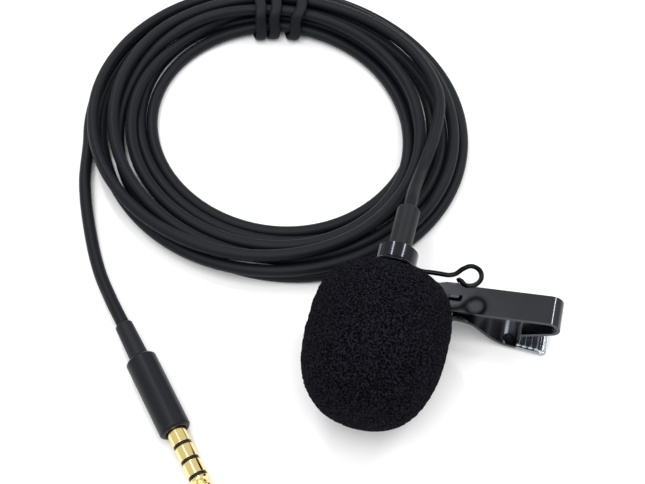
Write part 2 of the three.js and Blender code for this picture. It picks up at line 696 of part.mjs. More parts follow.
// Plastic-covered wire wound three times round the coil.
function twistTie() {
  const halfHeight = coilHeight / 2 + cordGap + tieWireRadius;
  const stepsPerTurn = 30;
  const squareness = 0.25;
  const points = [];
  for (let i = 0; i <= tieTurns * stepsPerTurn; i += 1) {
    const angle = (i / stepsPerTurn) * 2 * Math.PI - Math.PI / 2;
    const [c, s] = [Math.cos(angle), Math.sin(angle)];
    const bearing = THREE.MathUtils.degToRad(tieBearing)
      + (i / (tieTurns * stepsPerTurn) - 0.5) * tieSpread / coilMiddle;
    const halfWidth = coilHalfWidth * coilWaist(bearing) + cordGap + tieWireRadius;
    const radius = coilMiddle + halfWidth * Math.sign(c) * Math.abs(c) ** squareness;
    const rise = halfHeight * Math.sign(s) * Math.abs(s) ** squareness;
    const z = coilBase + coilHeight / 2 + rise;
    points.push(point(radius * Math.cos(bearing), radius * Math.sin(bearing), z));
  }
  const geometry = bar(points, tieWireRadius, 6, tieTurns * stepsPerTurn);
  return piece('twist_tie', geometry.translate(coilX, coilY, -foamRadius), blackPlastic());
}

// ---- plug ---------------------------------------------------------------------------------------------
// Along the plug's own Y, from the strain relief's rear end at 0 to the tip at the far negative end.
function plugContacts(shoulder) {
  const group = new THREE.Group();
  const sleeveEnd = shoulder - sleeveVisible;
  const ring2End = sleeveEnd - insulatorLength - ringLength;
  const ring1End = ring2End - insulatorLength - ringLength;
  const tipRear = ring1End - insulatorLength;
  const tipFront = shoulder - plugShaft;
  const coreRadius = contactBore - seatGap;
  const insulatorRadius = contactRadius - insulatorDrop;
  const tongueEnd = tipRear - tongueLength;

  const core = [[0, tongueEnd], [coreRadius, tongueEnd]];
  [ring1End, ring2End, sleeveEnd].forEach((rearContact) => {
    const front = rearContact - insulatorLength + contactGap;
    const rear = rearContact - contactGap;
    core.push([coreRadius, front], [insulatorRadius, front], [insulatorRadius, rear], [coreRadius, rear]);
  });
  core.push([coreRadius, shoulder + sleeveShank], [0, shoulder + sleeveShank]);

  const waist = contactRadius * tipWaist;
  group.add(
    piece('plug_insulation', turned(core, 24), blackPlastic()),
    piece('plug_sleeve', ring(contactRadius, contactBore, sleeveEnd, sleeveVisible + sleeveShank, 24), gold()),
    piece('plug_ring_2', ring(contactRadius, contactBore, ring2End, ringLength, 24), gold()),
    piece('plug_ring_1', ring(contactRadius, contactBore, ring1End, ringLength, 24), gold()),
    piece('plug_tip', turned([
      ...tipForm.map(([radius, behind]) => [radius, tipFront + behind]),
      [waist, tipFront + tipWaistFront], [waist, tipFront + tipWaistRear],
      [contactRadius, tipFront + tipShoulder], [contactRadius, tipRear],
      [contactBore, tipRear], [contactBore, tongueEnd - seatGap],
      [0, tongueEnd - seatGap],
    ], 24), gold()),
  );
  return group;
}

function plug() {
  const group = new THREE.Group();
  const barrelRear = -plugReliefLength - seatGap;
  const shoulder = barrelRear - barrelLength;
  const tongueRadius = plugReliefRearRadius - plugReliefEdge;
  const tongueBore = tongueRadius + seatGap;
  const boreRear = barrelRear - plugReliefTongue - seatGap;
  const shankBore = contactRadius + seatGap;
  const shankRear = shoulder + sleeveShank + seatGap;
  group.add(
    piece('plug_strain_relief', turned([
      [0, -cordGap], [tongueRadius, -cordGap], [plugReliefRearRadius, -cordGap - plugReliefEdge],
      [plugReliefRadius, -plugReliefLength], [tongueRadius, -plugReliefLength],
      [tongueRadius, barrelRear - plugReliefTongue], [0, barrelRear - plugReliefTongue],
    ], 28), blackRubber()),
    piece('plug_barrel', turned([
      [tongueBore, barrelRear], [barrelRadius - barrelEdge, barrelRear], [barrelRadius, barrelRear - barrelEdge],
      [barrelRadius, shoulder + barrelEdge], [barrelRadius - barrelEdge, shoulder], [shankBore, shoulder],
      [shankBore, shankRear], [tongueBore, boreRear], [tongueBore, barrelRear],
    ], 36), blackPlastic()),
    plugContacts(shoulder),
  );
  group.rotation.z = THREE.MathUtils.degToRad(plugBearing);
  group.position.set(plugX, plugY, barrelRadius - foamRadius);
  return group;
}

// ---- the object ---------------------------------------------------------------------------------------
// The origin is the middle of the box round the microphone and clip, on the surface that they lie on.
const body = new THREE.Group();
body.add(foamWindscreen(), microphone(), clip());
const cords = new THREE.Group();
cords.add(cableMicLead(), cableCoil(), cablePlugLead(), twistTie(), plug());

const object = new THREE.Group();
object.name = 'lavalier_microphone';
object.add(body, cords);
const extent = new THREE.Box3().setFromObject(body, true);
const middle = extent.getCenter(point(0, 0, 0));
object.position.set(-middle.x, -middle.y, -extent.min.z);
const lavalier = new THREE.Group();
lavalier.add(object);
lavalier.updateMatrixWorld(true);

export default lavalier;
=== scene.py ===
"""Lavalier microphone: foam windscreen, clip, coiled lead and plug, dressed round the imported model.

Lengths in each section are millimetres, measured from the point where the microphone's axis meets the
collar's rear face: x along the clip, y towards the lead, z up.
"""

import json
import math

import bmesh
import bpy
import numpy as np
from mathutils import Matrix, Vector


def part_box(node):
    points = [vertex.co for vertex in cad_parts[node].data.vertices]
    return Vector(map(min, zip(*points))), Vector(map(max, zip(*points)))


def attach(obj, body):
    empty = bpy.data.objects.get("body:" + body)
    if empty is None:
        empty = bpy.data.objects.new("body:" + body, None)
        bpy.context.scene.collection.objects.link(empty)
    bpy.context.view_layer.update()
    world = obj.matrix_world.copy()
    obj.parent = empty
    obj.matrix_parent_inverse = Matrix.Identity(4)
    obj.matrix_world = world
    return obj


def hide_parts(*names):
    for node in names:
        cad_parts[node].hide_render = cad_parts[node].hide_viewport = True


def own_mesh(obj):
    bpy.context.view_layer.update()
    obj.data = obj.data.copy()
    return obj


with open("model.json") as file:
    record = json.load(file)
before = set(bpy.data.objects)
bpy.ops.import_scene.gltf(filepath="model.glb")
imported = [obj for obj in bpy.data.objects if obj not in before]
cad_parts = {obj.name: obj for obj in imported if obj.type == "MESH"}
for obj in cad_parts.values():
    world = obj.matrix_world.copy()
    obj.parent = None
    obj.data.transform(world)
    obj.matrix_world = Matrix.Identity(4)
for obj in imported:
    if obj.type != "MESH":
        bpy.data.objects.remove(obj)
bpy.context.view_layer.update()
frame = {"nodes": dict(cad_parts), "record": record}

# ---- Shared helpers -----------------------------------------------------------------------------------
# Places from the microphone's axis, new objects, sRGB colours and shader nodes, and the lengths and curves
# that the lead, the twist tie and the foam ball are worked out with.
MM = 0.001
MIX_FIRST, MIX_SECOND, MIX_RESULT = 6, 7, 2       # the colour sockets of a mix node
housing_low, housing_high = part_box("capsule_housing")
AXIS = np.array([(housing_low[0] + housing_high[0]) / 2, housing_high[1],
                 (housing_low[2] + housing_high[2]) / 2])


def place(*points):
    """Millimetres from the axis point, as an array of points in the frame's metres."""
    return AXIS + np.asarray(points, dtype=float).reshape(-1, 3) * MM


def new_object(name, data):
    """An object that holds the data, linked to the scene."""
    thing = bpy.data.objects.new(name, data)
    bpy.context.scene.collection.objects.link(thing)
    return thing


def srgb(colour):
    """Linear values of an opaque sRGB hex colour: each channel is c / 12.92, or ((c + 0.055) / 1.055) to the
    power 2.4 where c is over 0.04045."""
    channels = np.array([int(colour[i:i + 2], 16) for i in (1, 3, 5)]) / 255
    linear = np.where(channels <= 0.04045, channels / 12.92, ((channels + 0.055) / 1.055) ** 2.4)
    return (*linear.tolist(), 1.0)


def add_node(tree, kind, links=None, **settings):
    """Adds one shader node. Settings name its attributes or its sockets, and links give what feeds a
    socket."""
    node = tree.nodes.new(kind)
    for name, value in settings.items():
        if hasattr(node, name):
            setattr(node, name, value)
        else:
            node.inputs[name.replace("_", " ")].default_value = value
    for name, source in (links or {}).items():
        tree.links.new(source, node.inputs[name])
    return node


def new_material(name):
    """A material without nodes, and its node tree."""
    material = bpy.data.materials.new(name)
    material.use_nodes = True
    material.node_tree.nodes.clear()
    return material, material.node_tree


def blend(tree, factor, first, second):
    """Colour that goes from the first to the second as the factor goes from 0 to 1. Each of the two is a hex
    colour or the output of another node."""
    mix = add_node(tree, "ShaderNodeMix", {"Factor": factor}, data_type="RGBA")
    for socket, colour in ((mix.inputs[MIX_FIRST], first), (mix.inputs[MIX_SECOND], second)):
        if isinstance(colour, str):
            socket.default_value = srgb(colour)
        else:
            tree.links.new(colour, socket)
    return mix.outputs[MIX_RESULT]


def running_length(points):
    """Length along a line of points, which is 0 at the first."""
    return np.r_[0, np.cumsum(np.linalg.norm(np.diff(points, axis=0), axis=1))]


def unit(vectors):
    """The same directions with length 1."""
    return vectors / np.linalg.norm(vectors, axis=1, keepdims=True)


def turn_angles(count):
    """Evenly spaced angles once round, in radians."""
    return np.arange(count) / count * 2 * np.pi


def hermite(s, span, start, end, start_slope, end_slope):
    """Cubic Hermite curve at share s of a span: (1 + 2s)(1 - s)^2 start + s(1 - s)^2 span start_slope
    + s^2(3 - 2s) end + s^2(s - 1) span end_slope."""
    return ((1 + 2 * s) * (1 - s) ** 2 * start + s * (1 - s) ** 2 * span * start_slope
            + s * s * (3 - 2 * s) * end + s * s * (s - 1) * span * end_slope)


# ---- Camera and studio --------------------------------------------------------------------------------
# A plain white sweep under a large soft tent of light, with two narrow strip lamps behind the microphone and
# a broad lamp overhead. The camera looks down on the microphone from in front of its windscreen.
CAMERA_PLACE = (11.62, -102.59, 167.46)
CAMERA_AIM = (-16.42, 6.64, -13.0)
FOCAL_PIXELS = 1040.0
FRAME_PIXELS = 645.0
SENSOR_WIDTH = 36.0
NEAREST_SEEN = 0.01                   # in metres
camera_data = bpy.data.cameras.new("camera")
camera_data.sensor_fit = "HORIZONTAL"
camera_data.sensor_width = SENSOR_WIDTH
camera_data.lens = SENSOR_WIDTH * FOCAL_PIXELS / FRAME_PIXELS
camera_data.clip_start = NEAREST_SEEN
camera = new_object("camera", camera_data)
camera.location = place(CAMERA_PLACE)[0]
view_line = Vector(place(CAMERA_AIM)[0]) - camera.location
camera.rotation_euler = view_line.to_track_quat("-Z", "Y").to_euler()
bpy.context.scene.camera = camera
bpy.context.scene.view_settings.view_transform = "Standard"

FLOOR_SPAN = 1.4                      # in metres
FLOOR_COLOUR = "#fbfbfb"
floor_mesh = bpy.data.meshes.new("floor")
half = FLOOR_SPAN / 2
floor_corners = [(-half, -half, 0), (half, -half, 0), (half, half, 0), (-half, half, 0)]
floor_mesh.from_pydata(floor_corners, [], [(0, 1, 2, 3)])
floor = new_object("floor", floor_mesh)
floor_material, tree = new_material("white_sweep_paper")
paper = add_node(tree, "ShaderNodeBsdfPrincipled", Base_Color=srgb(FLOOR_COLOUR), Roughness=0.9)
add_node(tree, "ShaderNodeOutputMaterial", {"Surface": paper.outputs[0]})
floor_mesh.materials.append(floor_material)

TENT_STRENGTH = 0.5                   # the tent's light on a dull surface
TENT_SHINE = 0.8                      # the tent as seen in a gloss; the camera sees it plain white
world = bpy.data.worlds.new("light_tent")
bpy.context.scene.world = world
world.use_nodes = True
tree = world.node_tree
tree.nodes.clear()
ray = add_node(tree, "ShaderNodeLightPath")
shine = add_node(tree, "ShaderNodeMapRange", {"Value": ray.outputs["Is Glossy Ray"]}, To_Min=TENT_STRENGTH,
                 To_Max=TENT_SHINE)
brightness = add_node(tree, "ShaderNodeMath", {0: shine.outputs[0], 1: ray.outputs["Is Camera Ray"]},
                      operation="MAXIMUM")
sky = add_node(tree, "ShaderNodeBackground", {"Strength": brightness.outputs[0]}, Color=(1, 1, 1, 1))
add_node(tree, "ShaderNodeOutputWorld", {"Surface": sky.outputs[0]})

# lamps: places in metres from the axis point, sizes in metres, and powers in watts
STRIP_REACH = 0.7
STRIP_LEFT = (-0.4425, 0.53, 0.723)
STRIP_RIGHT = (0.445, 0.53, 0.721)
STRIP_SIZE = (0.028, 0.40)
STRIP_POWER = 1.2
OVERHEAD_PLACE = (-0.03, -0.30, 0.95)
OVERHEAD_SIZE = (1.0, 1.0)
OVERHEAD_POWER = 9.0


def area_lamp(name, where, size, power):
    """A rectangular lamp that faces the microphone. Its second side is the one that stands up."""
    data = bpy.data.lights.new(name, "AREA")
    data.shape = "RECTANGLE"
    data.size, data.size_y = size
    data.energy = power
    lamp = new_object(name, data)
    lamp.location = where
    lamp.rotation_euler = (Vector(AXIS) - Vector(where)).to_track_quat("-Z", "Y").to_euler()


area_lamp("strip_left", AXIS + STRIP_REACH * np.array(STRIP_LEFT), STRIP_SIZE, STRIP_POWER)
area_lamp("strip_right", AXIS + STRIP_REACH * np.array(STRIP_RIGHT), STRIP_SIZE, STRIP_POWER)
area_lamp("overhead_box", AXIS + np.array(OVERHEAD_PLACE), OVERHEAD_SIZE, OVERHEAD_POWER)

# ---- Lead ---------------------------------------------------------------------------------------------
# One round cord with a soft PVC jacket. It leaves the microphone's strain relief, runs over the coil, is
# wound about seven and a half times on itself and ends in the plug. The turns lie on the table and on each
# other.
CORD = 2.5
CORD_SIDES = 16
CORD_STEP = 0.9                       # between the points of its path
TABLE = -13.0                         # the table below the microphone's axis
COIL_MIDDLE = (-34.0, 32.1)
LEAD_TOP = -4.7
MIC_LEAD = [(0, 8, 0), (0, 10.2, 0), (0, 12.5, -0.3), (-0.1, 15.9, -1.6), (0, 19.5, -3.1),
            (0.2, 23.5, LEAD_TOP), (0.7, 28, LEAD_TOP), (1, 32.5, LEAD_TOP)]
PLUG_END = (-48.703, -22.28, -10.05)
BOOT_ENTRY = (-48.26, -22.76, -10.05)             # the lead runs on from its end into the plug's boot
PLUG_LEAD = [(-67.7, 6.4, -11.05), (-66.2, 3, -11.25), (-64.2, -1, -11.55), (-62, -5, -11.65),
             (-59.6, -9, -11.65), (-56.9, -12.9, -11.55), (-54, -16.4, -11.05), (-51.3, -19.5, -10.35),
             PLUG_END, BOOT_ENTRY]
# Radius at which each pass of the cord round the coil is seen in the photograph, on a level plane through the
# upper turns. Bearings are degrees round the coil's middle from the clip's direction.
SEEN_HEIGHT = -8.5
SEEN_STEP = 30.0
SEEN_RADII = [
    (36.5, 36.7, 34.0, 34.4, 35.9, 36.8, 34.8, 33.0, 33.4, 35.5, 37.3, 38.3),
    (37.2, 33.0, 31.0, 31.0, 31.8, 31.9, 30.4, 30.3, 30.6, 32.8, 34.2, 33.0),
    (29.2, 26.8, 26.4, 26.2, 26.8, 26.5, 25.9, 25.6, 26.8, 29.2, 31.0, 31.2),
    (30.0, 28.1, 28.0, 28.6, 30.0, 29.8, 27.9, 27.6, 28.6, 30.6, 33.2, 36.0),
    (34.2, 33.2, 32.0, 33.6, 36.8, 37.4, 36.5, 36.2, 37.4, 38.2, 39.0, 41.2),
    (39.0, 36.4, 35.0, 36.4, 39.6, 40.6, 39.4, 37.0, 34.9, 34.8, 35.6, 33.6),
    (31.1, 30.0, 29.7, 31.6, 32.7, 32.9, 32.5, 33.9, 35.4, 39.2, 41.9, 43.0),
    (41.4, 37.6, 36.0, 36.6, 38.0, 38.7, 39.0, 40.4),
]
FIRST_BEARING = 10.0
LAST_BEARING = 200.0                  # in the last pass
BEARING_STEP = 3.0                    # between the points of the wound part
# Height of each pass above the lowest turns, in cord diameters.
HEIGHT_STEP = 60.0
HEIGHTS = [
    (2.8, 1.9, 1.8, 1.8, 1.5, 0.9),
    (0.9, 0.9, 0.9, 0.9, 0.9, 0.9),
    (0.0, 0.0, 0.0, 0.0, 0.0, 0.0),
    (0.0, 0.2, 0.3, 0.3, 0.3, 0.0),
    (0.0, 0.0, 0.0, 0.2, 0.5, 0.9),
    (1.4, 1.0, 1.0, 1.5, 1.7, 1.7),
    (1.7, 1.7, 1.2, 0.6, 0.0, 0.0),
    (0.4, 0.2, 0.0, 0.0, 0.0, 0.0),
]
TIE_BEARINGS = (92.4, 103.6, 110.6)   # where the twist tie's loops cross the top
TIE_REACH = 12.0                      # degrees on either side over which the tie bears on the turns
TIE_LIFT = 1.3                        # the tie under the turns holds them off the table
SETTLING_ROUNDS = 900
FIRST_HOLD = 0.06                     # share of the way back to its place that a turn goes in the first round
TURN_SPACING = 1.01                   # between the middles of touching turns, in cord diameters
PUSH_SHARE = 0.8                      # of an overlap that one round takes away
TINY = 1e-6
JOIN_SKIP = 4                         # points left out where the microphone's lead bends into the first pass


def round_spline(points, step):
    """Evenly spaced points on a smooth curve through the given ones: Hermite spans whose slope at each point
    is the central difference of its neighbours over the chord lengths, sampled finely and spaced by length."""
    p = np.asarray(points, dtype=float)
    t = running_length(p)
    slope = np.gradient(p, t, axis=0)
    fine = np.linspace(0, t[-1], int(t[-1] / step) * 8)
    i = np.clip(np.searchsorted(t, fine, side="right") - 1, 0, len(t) - 2)
    span = (t[i + 1] - t[i])[:, None]
    s = ((fine - t[i])[:, None]) / span
    curve = hermite(s, span, p[i], p[i + 1], slope[i], slope[i + 1])
    length = running_length(curve)
    even = np.linspace(0, length[-1], int(length[-1] / step) + 1)
    return np.stack([np.interp(even, length, curve[:, k]) for k in range(3)], axis=1)


def tube_grid(path, radius, sides):
    """A tube: ring j at path point j is path + radius (cos a * side + sin a * up), where side is level and
    square to the path, and up is square to both. Returns rings x sides x 3."""
    along = unit(np.gradient(path, axis=0))
    side = unit(np.cross(along, (0.0, 0.0, 1.0)))
    up = np.cross(side, along)
    a = turn_angles(sides)
    ring = np.cos(a)[None, :, None] * side[:, None] + np.sin(a)[None, :, None] * up[:, None]
    return path[:, None] + radius * ring


def grid_object(name, grid, material):
    """A mesh from a rows x columns x 3 grid. Each row joins up round the tube, and flat caps close both ends.
    The UV map holds length along and way round, in metres and turns."""
    rows, columns, _ = grid.shape
    index = np.arange(rows * columns).reshape(rows, columns)
    after = np.roll(index, -1, axis=1)
    quads = np.stack([index[:-1], after[:-1], after[1:], index[1:]], axis=-1).reshape(-1, 4)
    caps = [index[0, ::-1].tolist(), index[-1].tolist()]
    mesh = bpy.data.meshes.new(name)
    mesh.from_pydata(grid.reshape(-1, 3).tolist(), [], quads.tolist() + caps)
    mesh.validate()
    work = bmesh.new()
    work.from_mesh(mesh)
    bmesh.ops.recalc_face_normals(work, faces=work.faces)
    work.to_mesh(mesh)
    work.free()
    corner = np.zeros(len(mesh.loops), dtype=int)
    mesh.loops.foreach_get("vertex_index", corner)
    length = running_length(grid.mean(axis=1))
    uv = np.stack([length[corner // columns], (corner % columns) / columns], axis=1)
    mesh.uv_layers.new(name="along").data.foreach_set("uv", uv.ravel())
    mesh.polygons.foreach_set("use_smooth", np.ones(len(mesh.polygons), dtype=bool))
    mesh.materials.append(material)
    return new_object(name, mesh)


def moves_apart(r, z):
    """How far each point moves from the passes that it lies in. Two points on one bearing that are closer than
    TURN_SPACING diameters each take half of what is missing, along the line between them."""
    per_turn = int(360 / BEARING_STEP)
    move_r = np.zeros_like(r)
    move_z = np.zeros_like(z)
    for lag in range(per_turn, len(r), per_turn):
        dr = r[lag:] - r[:-lag]
        dz = z[lag:] - z[:-lag]
        gap = np.hypot(dr, dz) + TINY
        push = np.clip(CORD * TURN_SPACING - gap, 0, None) / 2 / gap
        move_r[lag:] += push * dr
        move_r[:-lag] -= push * dr
        move_z[lag:] += push * dz
        move_z[:-lag] -= push * dz
    return move_r, move_z


def wound_turns():
    """Points of the wound part. Each pass has the radii of its row, joined by one smooth curve of bearing and
    moved along the line of sight from the seen plane to the pass's own height:
    radius = seen - lean (z - plane). In each round of settling a pass goes back by a share to its radius and
    height, passes push each other apart, and each point becomes half of itself and a quarter of each
    neighbour."""
    knots = np.concatenate(SEEN_RADII)
    bearings = FIRST_BEARING + SEEN_STEP * np.arange(len(knots))
    fine = np.arange(FIRST_BEARING, 360 * (len(SEEN_RADII) - 1) + LAST_BEARING, BEARING_STEP)
    slope = np.gradient(knots, bearings)
    i = np.clip(((fine - FIRST_BEARING) // SEEN_STEP).astype(int), 0, len(knots) - 2)
    s = (fine - bearings[i]) / SEEN_STEP
    seen = hermite(s, SEEN_STEP, knots[i], knots[i + 1], slope[i], slope[i + 1])
    a = np.radians(fine)
    outward = np.stack([np.cos(a), np.sin(a)], axis=1)
    sight = np.array(COIL_MIDDLE) + seen[:, None] * outward - CAMERA_PLACE[:2]
    lean = (sight * outward).sum(axis=1) / (CAMERA_PLACE[2] - SEEN_HEIGHT)
    lift = TIE_LIFT * np.exp(-((fine % 360 - np.mean(TIE_BEARINGS)) / TIE_REACH) ** 2)
    lowest = TABLE + CORD / 2 + lift
    heights = np.concatenate(HEIGHTS)
    laid = lowest + CORD * np.interp(fine, FIRST_BEARING + HEIGHT_STEP * np.arange(len(heights)), heights)
    z = laid.copy()
    r = seen - lean * (z - SEEN_HEIGHT)
    for hold in np.linspace(FIRST_HOLD, 0.0, SETTLING_ROUNDS):
        r += hold * (seen - lean * (z - SEEN_HEIGHT) - r)
        z += hold * (laid - z)
        move_r, move_z = moves_apart(r, z)
        r += move_r * PUSH_SHARE
        z += move_z * PUSH_SHARE
        for line in (r, z):
            line[1:-1] = 0.25 * line[:-2] + 0.5 * line[1:-1] + 0.25 * line[2:]
        z = np.maximum(z, lowest)
        z[0] = LEAD_TOP
        z[-1] = min(z[-1], PLUG_LEAD[0][2])
    return np.stack([COIL_MIDDLE[0] + r * np.cos(a), COIL_MIDDLE[1] + r * np.sin(a), z], axis=1)


def pvc_jacket():
    """Extruded soft PVC: a satin black skin with a faint lengthwise draw and a fine grain."""
    material, tree = new_material("extruded_pvc_jacket")
    uv = add_node(tree, "ShaderNodeUVMap", uv_map="along")
    stretch = add_node(tree, "ShaderNodeMapping", {"Vector": uv.outputs[0]}, Scale=(60.0, 14.0, 1.0))
    draw = add_node(tree, "ShaderNodeTexNoise", {"Vector": stretch.outputs[0]}, Scale=3.0, Detail=4.0)
    shade = blend(tree, draw.outputs["Fac"], "#0a0c10", "#101319")
    matt = add_node(tree, "ShaderNodeMapRange", {"Value": draw.outputs["Fac"]}, To_Min=0.44, To_Max=0.58)
    where = add_node(tree, "ShaderNodeTexCoord")
    grain = add_node(tree, "ShaderNodeTexNoise", {"Vector": where.outputs["Object"]}, Scale=2500.0,
                     Detail=2.0)
    bump = add_node(tree, "ShaderNodeBump", {"Height": grain.outputs["Fac"]}, Strength=0.12, Distance=0.00005)
    surface = add_node(tree, "ShaderNodeBsdfPrincipled",
                       {"Base Color": shade, "Roughness": matt.outputs[0], "Normal": bump.outputs[0]},
                       Specular_IOR_Level=0.16)
    add_node(tree, "ShaderNodeOutputMaterial", {"Surface": surface.outputs[0]})
    return material


turns = wound_turns()
cord_path = place(round_spline(np.vstack([MIC_LEAD, turns[JOIN_SKIP:], PLUG_LEAD]), CORD_STEP))
jacket = pvc_jacket()
cord = grid_object("cord", tube_grid(cord_path, CORD / 2 * MM, CORD_SIDES), jacket)
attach(cord, "microphone")
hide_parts("cable_mic_lead", "cable_coil", "cable_plug_lead")

# ---- Twist tie ----------------------------------------------------------------------------------------
# A flat strip of black PVC over a soft wire, wound three times round the turns to hold them together. It
# follows the outline of the turns, and stands a little off them on the coil's inner side.
TIE_WIDTH = 2.5
TIE_THICKNESS = 1.0
TIE_SLACK = 0.5
TIE_ENDS = (90.5, 113.0)              # bearings of its two ends, under the coil
TIE_LOOPS = 3
TIE_STEPS = 40                        # in one loop
TIE_STEP = 0.5                        # between the points of its path
TIE_GAP = 0.1                         # off the turns
TIE_FLOOR_GAP = 0.05
TIE_SIDES = 12
TIE_CORNER = 0.7                      # power of its section: 1 is an ellipse, and 0 a rectangle


def tie_path():
    """Loops round the bundle. A loop's section is the tight outline round the turns at the tie: in each
    direction d it is the turn that lies farthest that way, plus d times a margin. The bearing glides from one
    loop to the next under the coil."""
    share = np.linspace(0, TIE_LOOPS, TIE_LOOPS * TIE_STEPS + 1)
    first, last = TIE_ENDS
    bearing = np.radians(np.interp(share, (0, 0.5, 1.5, 2.5, TIE_LOOPS), (first, *TIE_BEARINGS, last)))
    from_coil = turns[:, :2] - COIL_MIDDLE
    turn_bearing = np.degrees(np.arctan2(from_coil[:, 1], from_coil[:, 0]))
    near = np.abs(turn_bearing - np.mean(TIE_BEARINGS)) < TIE_REACH
    centres = np.stack([np.hypot(from_coil[:, 0], from_coil[:, 1])[near], turns[near, 2]], axis=1)
    a = share * 2 * np.pi - np.pi / 2
    out = np.stack([np.cos(a), np.sin(a)], axis=1)
    margin = CORD / 2 + TIE_THICKNESS / 2 + TIE_GAP
    section = centres[(out @ centres.T).argmax(axis=1)] + out * margin
    r = section[:, 0] + TIE_SLACK * np.minimum(out[:, 0], 0)
    z = np.maximum(section[:, 1], TABLE + TIE_THICKNESS / 2 + TIE_FLOOR_GAP)
    return np.stack([COIL_MIDDLE[0] + r * np.cos(bearing), COIL_MIDDLE[1] + r * np.sin(bearing), z], axis=1)


def boxed(value):
    """A sine or cosine c drawn towards a box's: sign(c) |c| to the power TIE_CORNER."""
    return np.sign(value) * np.abs(value) ** TIE_CORNER


def strip_grid(path, across):
    """A flat strip: a section with rounded corners, carried along the path with its width kept along the
    across direction. Its points are width / 2 * boxed(cos a) across and thickness / 2 * boxed(sin a) out."""
    along = unit(np.gradient(path, axis=0))
    flat = unit(across - (across * along).sum(axis=1, keepdims=True) * along)
    out = np.cross(along, flat)
    a = turn_angles(TIE_SIDES)
    wide = boxed(np.cos(a)) * TIE_WIDTH / 2
    thick = boxed(np.sin(a)) * TIE_THICKNESS / 2
    return path[:, None] + wide[None, :, None] * flat[:, None] + thick[None, :, None] * out[:, None]


tie_line = round_spline(tie_path(), TIE_STEP)
from_middle = tie_line - (*COIL_MIDDLE, 0)
tie_across = np.stack([-from_middle[:, 1], from_middle[:, 0], np.zeros(len(tie_line))], axis=1)
tie_grid = strip_grid(tie_line, tie_across)
tie = grid_object("twist_tie_strip", place(tie_grid).reshape(tie_grid.shape), jacket)
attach(tie, "microphone")
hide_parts("twist_tie")

# ---- Foam windscreen ----------------------------------------------------------------------------------
# A ball of reticulated polyurethane foam, cut open-celled, so its skin is all fine pits. It is soft, and one
# side keeps a slight dent.
FOAM_RADIUS = 13.0
FOAM_NOSE = (-34.8, 19.2, 2.8)        # its nose, the length from there to the widest part, and the power
FOAM_REAR = (-8.0, 10.2, 1.8)         # its rear face, that face's radius, and the shoulder's power
FOAM_BORE = (3.5, -18.4)              # the bore's radius and its blind end
FOAM_ROWS = 230
FOAM_COLUMNS = 400
PROFILE_STEPS = 400                   # in each of the profile's two curves
BORE_MOUTH = 0.5                      # from the rear face to the bore's first row
CAP_SHARE = 0.02                      # of its radius to which a row is drawn in where it is closed
# Relief in the skin: depth, cell, seed, the level of the noise that is neither sunk nor raised, and a shift
# that keeps the lattice's own origin out of the ball.
FINE_PITS = (0.30, 0.42, 3, 0.75, 40)
COARSE_PITS = (0.12, 1.3, 5, 0.5, 40)
LUMPS = (0.35, 7.0, 11, 0.6, 80)
DENT_PLACE = (11.2, -28.0, 2.0)
DENT_DEPTH = 0.9
DENT_RADIUS = 3.2
RELIEF_FADE = 1.5                     # length over which the relief ends at the bore
LATTICE = 64                          # points of the noise each way before it repeats


def lattice_noise(p, cell, seed):
    """Value noise from 0 to 1: random numbers on a cubic lattice of the given cell, blended between corners
    by 3t^2 - 2t^3 in each direction."""
    numbers = np.random.default_rng(seed).random((LATTICE, LATTICE, LATTICE))
    q = p / cell
    low = np.floor(q).astype(int)
    t = q - low
    t = t * t * (3 - 2 * t)
    total = 0.0
    for corner in range(8):
        step = np.array([corner & 1, corner >> 1 & 1, corner >> 2 & 1])
        weight = np.where(step, t, 1 - t).prod(axis=-1)
        i = (low + step) % LATTICE
        total = total + weight * numbers[i[..., 0], i[..., 1], i[..., 2]]
    return total


def relief(base, depth, cell, seed, level, shift):
    """Height of the skin above the smooth profile: depth * (noise - level)."""
    return depth * (lattice_noise(base + shift, cell, seed) - level)


def foam_profile():
    """Radius and distance along the axis of the ball's skin, from its nose to its bore. Its front and its
    shoulder are quarters of |x|^n + |y|^n = 1, each stretched to its own length and radius."""
    turn = np.linspace(0, np.pi / 2, PROFILE_STEPS)
    nose, nose_length, nose_power = FOAM_NOSE
    rear, rear_radius, rear_power = FOAM_REAR
    widest = nose + nose_length
    front = np.stack([FOAM_RADIUS * np.sin(turn) ** (2 / nose_power),
                      widest - nose_length * np.cos(turn) ** (2 / nose_power)], axis=1)
    shoulder = np.stack([rear_radius + (FOAM_RADIUS - rear_radius) * np.cos(turn) ** (2 / rear_power),
                         widest + (rear - widest) * np.sin(turn) ** (2 / rear_power)], axis=1)
    return np.vstack([front, shoulder[1:], (FOAM_BORE[0], rear)])


def foam_skin():
    """The profile turned about the microphone's axis, then sunk along its own normal by pits of two sizes, a
    dent and lumps: profile + min(pits + dent + lumps, 0) * normal."""
    line = foam_profile()
    length = running_length(line)
    even = np.linspace(0, length[-1], FOAM_ROWS)
    r = np.interp(even, length, line[:, 0])
    y = np.interp(even, length, line[:, 1])
    slope = unit(np.stack([-np.gradient(y), np.gradient(r)], axis=1))
    a = turn_angles(FOAM_COLUMNS)
    around = np.stack([np.cos(a), np.zeros(FOAM_COLUMNS), np.sin(a)], axis=1)
    axial = np.array([0, 1.0, 0])
    base = r[:, None, None] * around[None] + y[:, None, None] * axial
    normal = -slope[:, 0, None, None] * around[None] - slope[:, 1, None, None] * axial
    away = np.linalg.norm(base - np.array(DENT_PLACE), axis=-1)
    dent = -DENT_DEPTH * np.exp(-((away / DENT_RADIUS) ** 2))
    height = relief(base, *FINE_PITS) + relief(base, *COARSE_PITS) + dent + relief(base, *LUMPS)
    fade = np.clip((even[-1] - even) / RELIEF_FADE, 0, 1)[:, None]
    return base + (fade * np.minimum(height, 0))[..., None] * normal


